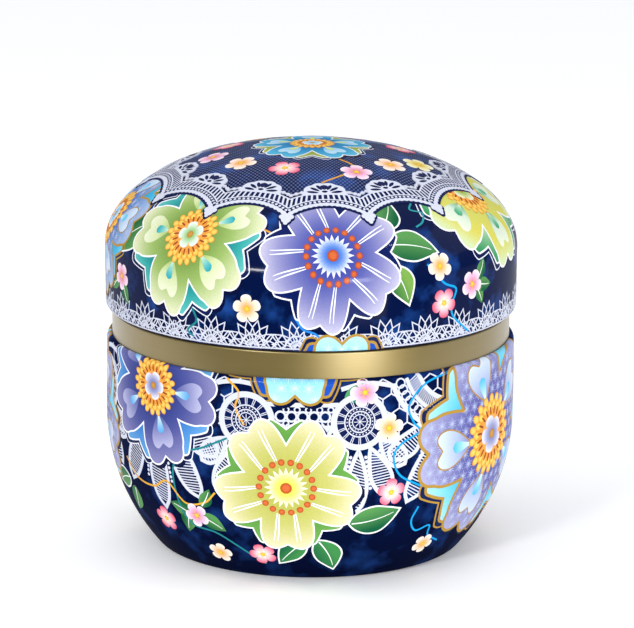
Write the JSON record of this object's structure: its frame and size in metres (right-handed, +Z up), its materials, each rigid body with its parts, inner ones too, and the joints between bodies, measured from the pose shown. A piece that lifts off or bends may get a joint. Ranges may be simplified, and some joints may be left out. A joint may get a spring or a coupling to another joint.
{
  "type": "tea caddy",
  "caption": "Round drawn tinplate tea caddy with a domed slip-on lid, a gold neck band and a plug-in inner lid.",
  "frame": {"origin": "middle of the base, on the surface that the caddy stands on", "axes": "+Z up along the caddy's axis; +Y towards the back of the print, -Y towards its front"},
  "size_m": [0.084, 0.084, 0.0827],
  "materials": {
    "printed_tinplate": "printed, glossy varnish",
    "gold_lacquer": "satin gold lacquer on tinplate",
    "soft_plastic": "moulded, milky"
  },
  "bodies": {
    "body": {"body_shell": "printed_tinplate", "neck_ring": "gold_lacquer"},
    "inner_lid": {"inner_lid": "soft_plastic"},
    "lid": {"lid_shell": "printed_tinplate"}
  },
  "joints": [
    {"name": "inner_lid_lift", "type": "slide", "parent": "body", "child": "inner_lid", "axis": [0, 0, 1], "range_m": [0, 0.04]},
    {"name": "lid_lift", "type": "slide", "parent": "inner_lid", "child": "lid", "axis": [0, 0, 1], "range_m": [0, 0.06]}
  ]
}
